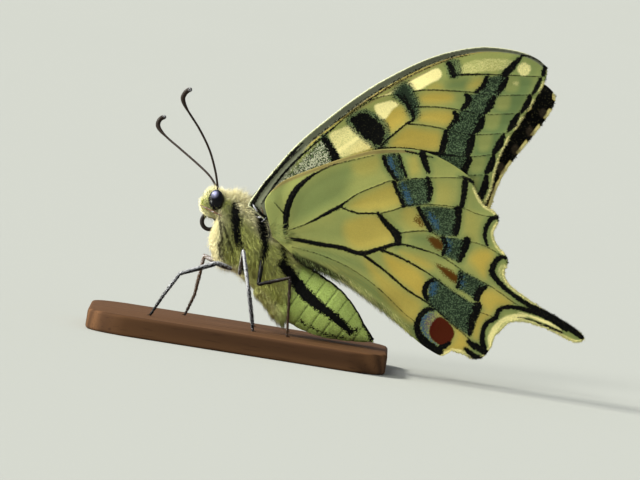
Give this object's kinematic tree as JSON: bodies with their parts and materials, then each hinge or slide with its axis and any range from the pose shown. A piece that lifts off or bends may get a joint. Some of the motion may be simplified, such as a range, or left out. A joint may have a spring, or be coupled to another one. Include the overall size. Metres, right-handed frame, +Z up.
{
  "type": "swallowtail butterfly",
  "caption": "Life-size swallowtail butterfly standing with its patterned wings closed over its back and its tongue coiled, on a flat wooden display base.",
  "frame": {"origin": "centre of the underside of the display base", "axes": "+Z up, the head towards -X, the tails of the wings towards +X, the insect's left side towards -Y"},
  "size_m": [0.0605, 0.026, 0.0414],
  "materials": {
    "coat": "long soft cream-yellow fur with black stripes",
    "abdomen_scales": "pale yellow scales with a black stripe along each side",
    "wing_scales": "fine powdery scales, yellow with black veins and bands, blue dusting and a red eye-spot",
    "eye": "glossy black compound eye",
    "cuticle": "satin black horn, paler along the legs",
    "base_wood": "satin walnut with eased edges"
  },
  "bodies": {
    "root": {"head": "coat", "thorax": "coat", "abdomen": "abdomen_scales", "palp_left": "coat", "palp_right": "coat", "eye_left": "eye", "eye_right": "eye", "antenna_left": "cuticle", "antenna_right": "cuticle", "proboscis": "cuticle", "leg_front_left": "cuticle", "leg_front_right": "cuticle", "leg_mid_left": "cuticle", "leg_mid_right": "cuticle", "leg_hind_left": "cuticle", "leg_hind_right": "cuticle", "forewing_left": "wing_scales", "forewing_right": "wing_scales", "hindwing_left": "wing_scales", "hindwing_right": "wing_scales", "stand_base": "base_wood"}
  },
  "joints": []
}
